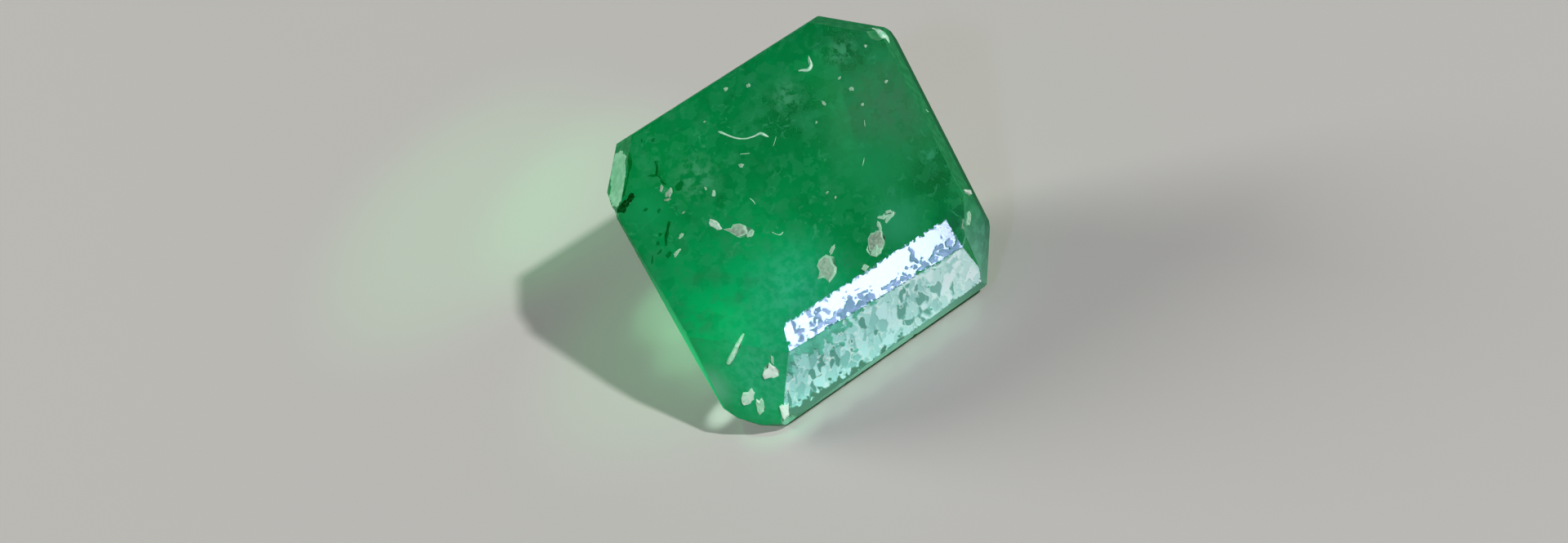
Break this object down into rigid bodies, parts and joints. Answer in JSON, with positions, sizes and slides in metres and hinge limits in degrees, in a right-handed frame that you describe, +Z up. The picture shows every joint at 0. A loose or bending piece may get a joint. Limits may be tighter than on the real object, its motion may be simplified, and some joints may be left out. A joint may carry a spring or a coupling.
{
  "type": "cut emerald",
  "caption": "Loose square step-cut emerald with clipped corners, worn and chipped, lying tilted on its pavilion.",
  "frame": {"origin": "centre of the bounding box in plan, on the surface the stone lies on", "axes": "+X along the table's front edge, +Y towards the raised back edge of the table, +Z up; the table faces up and to the front, tilted about 38 degrees about X, an estimate from one picture"},
  "size_m": [0.0074, 0.0056, 0.0054],
  "materials": {
    "emerald": "clear green beryl full of inclusions, polished on the table and frosted on the worn facets and girdle"
  },
  "bodies": {
    "root": {"emerald": "emerald"}
  },
  "joints": []
}
